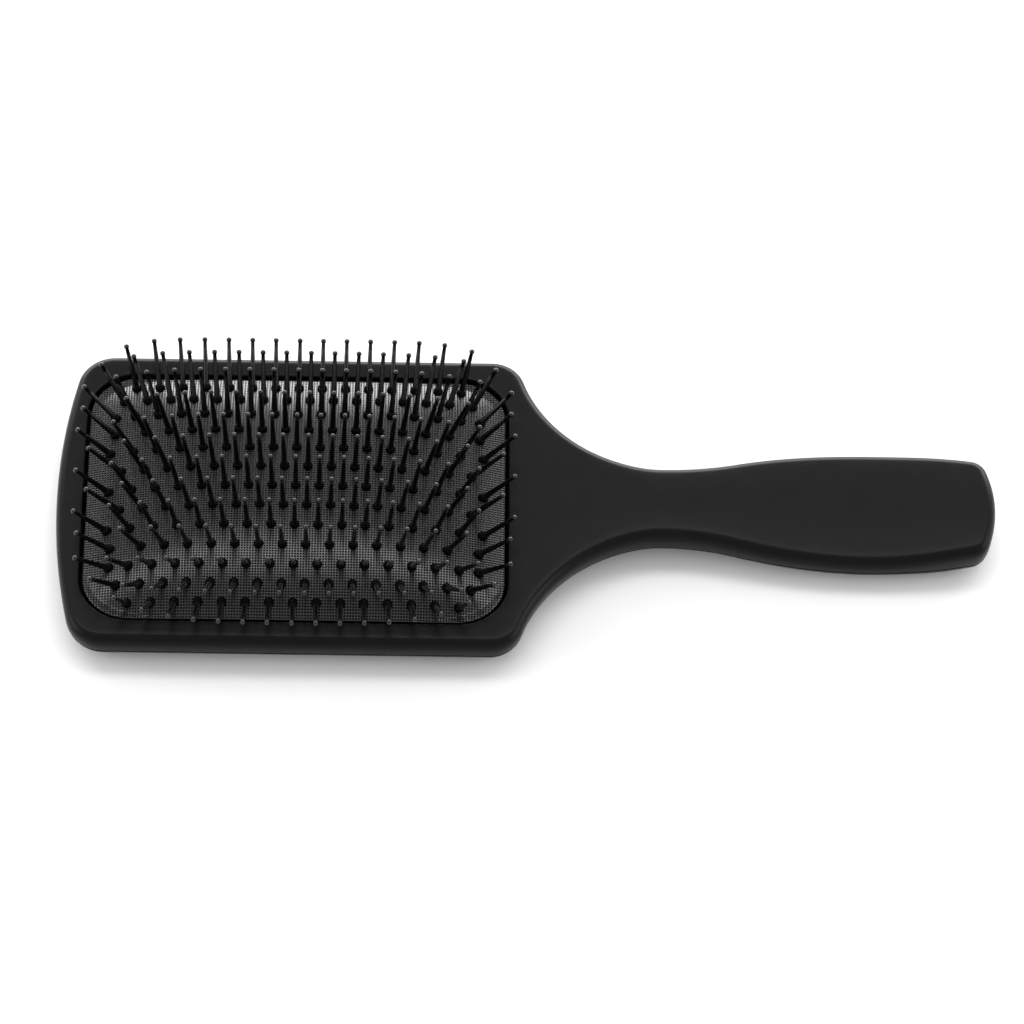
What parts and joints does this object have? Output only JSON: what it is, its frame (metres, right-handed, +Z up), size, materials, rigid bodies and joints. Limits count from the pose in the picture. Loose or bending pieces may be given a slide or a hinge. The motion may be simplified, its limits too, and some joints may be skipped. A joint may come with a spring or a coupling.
{
  "type": "paddle brush",
  "caption": "Flat hair brush with a wide rectangular head, a domed air cushion carrying staggered rows of ball-tipped pins, and a flat flared handle.",
  "frame": {"origin": "middle of the underside of the bounding box, on the plane the brush's back rests on", "axes": "+X from the head to the handle's end, +Y across the head, +Z up through the pins; the brush lies on its back"},
  "size_m": [0.246, 0.0908, 0.031],
  "materials": {
    "soft_touch_plastic": "soft-touch satin black",
    "frame_plastic": "moulded matte black",
    "rubber": "fine waffle-textured matte black rubber",
    "nylon": "glossy black nylon"
  },
  "bodies": {
    "body": {"front_shell": "soft_touch_plastic", "back_shell": "soft_touch_plastic", "clamp_frame": "frame_plastic"},
    "cushion": {"cushion": "rubber"},
    "pin_row_01": {"pin_row_01": "nylon"},
    "pin_row_02": {"pin_row_02": "nylon"},
    "pin_row_03": {"pin_row_03": "nylon"},
    "pin_row_04": {"pin_row_04": "nylon"},
    "pin_row_05": {"pin_row_05": "nylon"},
    "pin_row_06": {"pin_row_06": "nylon"},
    "pin_row_07": {"pin_row_07": "nylon"},
    "pin_row_08": {"pin_row_08": "nylon"},
    "pin_row_09": {"pin_row_09": "nylon"},
    "pin_row_10": {"pin_row_10": "nylon"},
    "pin_row_11": {"pin_row_11": "nylon"},
    "pin_row_12": {"pin_row_12": "nylon"},
    "pin_row_13": {"pin_row_13": "nylon"}
  },
  "joints": [
    {"name": "cushion_press", "type": "slide", "parent": "body", "child": "cushion", "axis": [0, 0, -1], "range_m": [0, 0.0022], "stiffness_N_per_m": 6000, "deforming": ["cushion"]},
    {"name": "row_01_rock", "type": "hinge", "parent": "cushion", "child": "pin_row_01", "pos_m": [-0.0603, 0.03397, 0.01187], "axis": [1, 0, 0], "range_deg": [-8, 8], "stiffness_Nm_per_rad": 0.1},
    {"name": "row_02_rock", "type": "hinge", "parent": "cushion", "child": "pin_row_02", "pos_m": [-0.0603, 0.02902, 0.01332], "axis": [1, 0, 0], "range_deg": [-12, 12], "stiffness_Nm_per_rad": 0.1},
    {"name": "row_03_rock", "type": "hinge", "parent": "cushion", "child": "pin_row_03", "pos_m": [-0.0603, 0.02369, 0.01427], "axis": [1, 0, 0], "range_deg": [-12, 12], "stiffness_Nm_per_rad": 0.1},
    {"name": "row_04_rock", "type": "hinge", "parent": "cushion", "child": "pin_row_04", "pos_m": [-0.0603, 0.01804, 0.01501], "axis": [1, 0, 0], "range_deg": [-12, 12], "stiffness_Nm_per_rad": 0.1},
    {"name": "row_05_rock", "type": "hinge", "parent": "cushion", "child": "pin_row_05", "pos_m": [-0.0603, 0.01216, 0.01513], "axis": [1, 0, 0], "range_deg": [-12, 12], "stiffness_Nm_per_rad": 0.1},
    {"name": "row_06_rock", "type": "hinge", "parent": "cushion", "child": "pin_row_06", "pos_m": [-0.0603, 0.00612, 0.01543], "axis": [1, 0, 0], "range_deg": [-12, 12], "stiffness_Nm_per_rad": 0.1},
    {"name": "row_07_rock", "type": "hinge", "parent": "cushion", "child": "pin_row_07", "pos_m": [-0.0603, 0, 0.01521], "axis": [1, 0, 0], "range_deg": [-12, 12], "stiffness_Nm_per_rad": 0.1},
    {"name": "row_08_rock", "type": "hinge", "parent": "cushion", "child": "pin_row_08", "pos_m": [-0.0603, -0.00612, 0.01543], "axis": [1, 0, 0], "range_deg": [-12, 12], "stiffness_Nm_per_rad": 0.1},
    {"name": "row_09_rock", "type": "hinge", "parent": "cushion", "child": "pin_row_09", "pos_m": [-0.0603, -0.01216, 0.01513], "axis": [1, 0, 0], "range_deg": [-12, 12], "stiffness_Nm_per_rad": 0.1},
    {"name": "row_10_rock", "type": "hinge", "parent": "cushion", "child": "pin_row_10", "pos_m": [-0.0603, -0.01804, 0.01501], "axis": [1, 0, 0], "range_deg": [-12, 12], "stiffness_Nm_per_rad": 0.1},
    {"name": "row_11_rock", "type": "hinge", "parent": "cushion", "child": "pin_row_11", "pos_m": [-0.0603, -0.02369, 0.01427], "axis": [1, 0, 0], "range_deg": [-12, 12], "stiffness_Nm_per_rad": 0.1},
    {"name": "row_12_rock", "type": "hinge", "parent": "cushion", "child": "pin_row_12", "pos_m": [-0.0603, -0.02902, 0.01332], "axis": [1, 0, 0], "range_deg": [-12, 12], "stiffness_Nm_per_rad": 0.1},
    {"name": "row_13_rock", "type": "hinge", "parent": "cushion", "child": "pin_row_13", "pos_m": [-0.0603, -0.03397, 0.01187], "axis": [1, 0, 0], "range_deg": [-8, 8], "stiffness_Nm_per_rad": 0.1}
  ]
}
